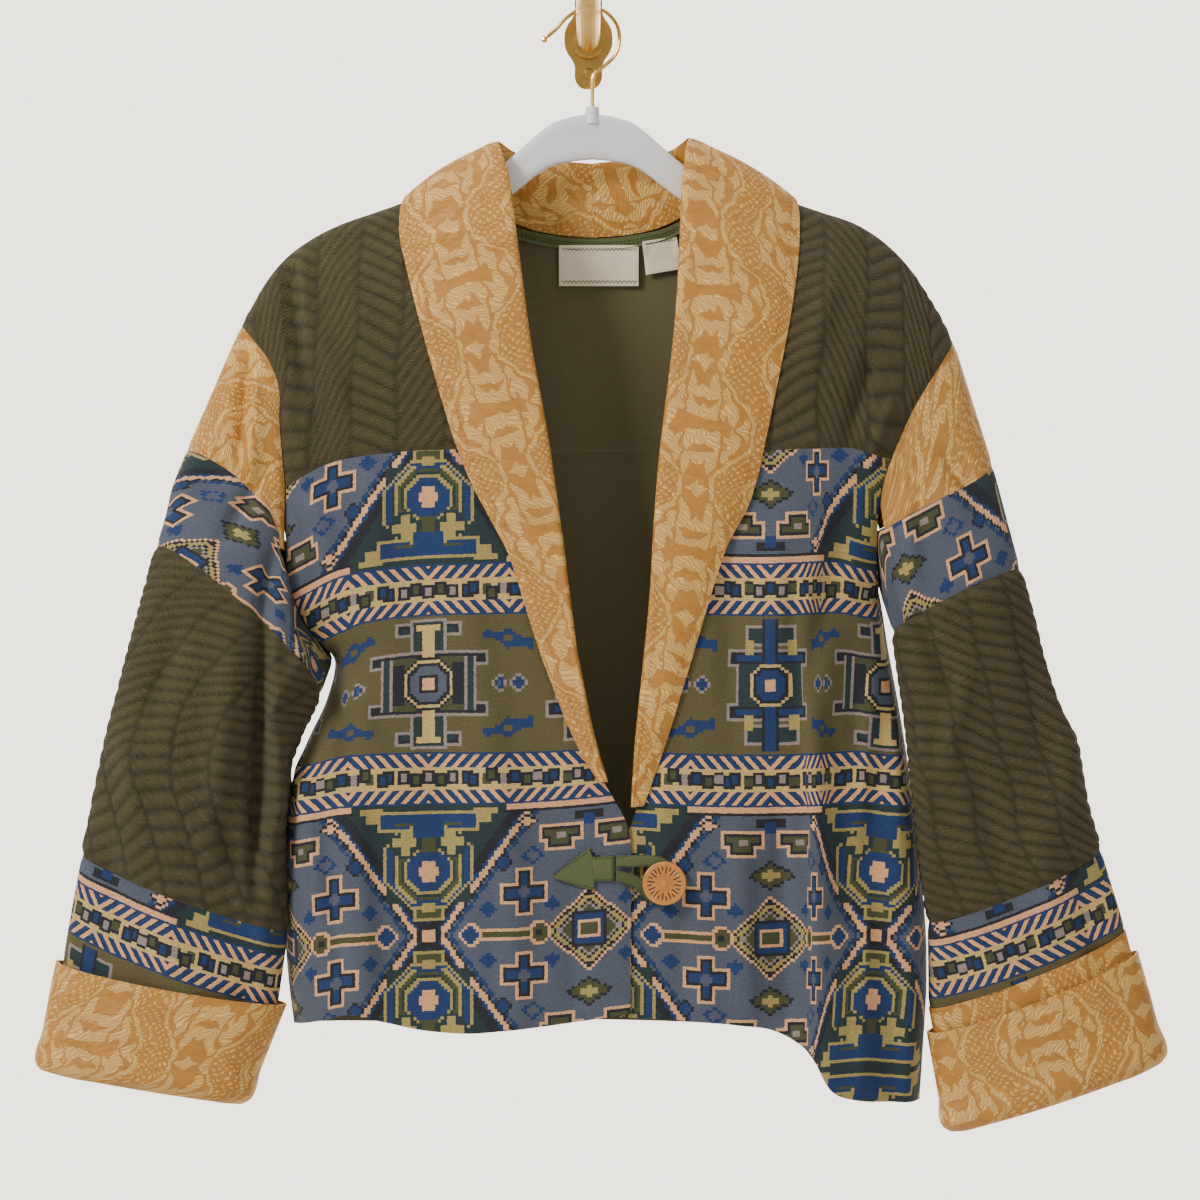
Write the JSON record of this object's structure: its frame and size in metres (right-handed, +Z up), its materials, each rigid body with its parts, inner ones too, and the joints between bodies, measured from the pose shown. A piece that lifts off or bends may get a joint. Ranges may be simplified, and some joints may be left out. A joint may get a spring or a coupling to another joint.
{
  "type": "shawl collar jacket on a hanger and wall hook",
  "caption": "Cropped shawl collar jacket with wide sleeves and turned-back cuffs, pieced from quilted, tapestry and damask cloth, on a hanger and brass wall hook.",
  "frame": {"origin": "centre of the wall plate's back face", "axes": "+Z up, -Y out of the wall towards the viewer, +X to the viewer's right, which is the wearer's left"},
  "size_m": [0.9138, 0.1057, 0.9307],
  "materials": {
    "matelasse": "matt quilted weave",
    "kilim": "matt jacquard weave",
    "damask": "satin figured weave",
    "twill": "matt twill",
    "label_cloth": "woven satin label",
    "hanger_plastic": "semi-gloss",
    "brass": "polished",
    "button_wood": "varnished"
  },
  "bodies": {
    "root": {"back_yoke": "matelasse", "back_body": "kilim", "front_yoke_right": "matelasse", "front_yoke_left": "matelasse", "front_body_right": "kilim", "front_body_left": "kilim", "collar_right": "damask", "collar_left": "damask", "sleeve_cap_right": "damask", "sleeve_band_right": "kilim", "sleeve_lower_right": "matelasse", "sleeve_border_right": "kilim", "cuff_right": "damask", "sleeve_cap_left": "damask", "sleeve_band_left": "kilim", "sleeve_lower_left": "matelasse", "sleeve_border_left": "kilim", "cuff_left": "damask", "neck_tape": "twill", "main_label": "label_cloth", "care_label": "label_cloth", "loop_tab": "twill", "button_loop": "twill", "button": "button_wood", "hanger": "hanger_plastic", "hanger_hook": "brass", "wall_plate": "brass", "wall_peg": "brass", "plate_screw_low": "brass", "plate_screw_high": "brass"}
  },
  "joints": []
}
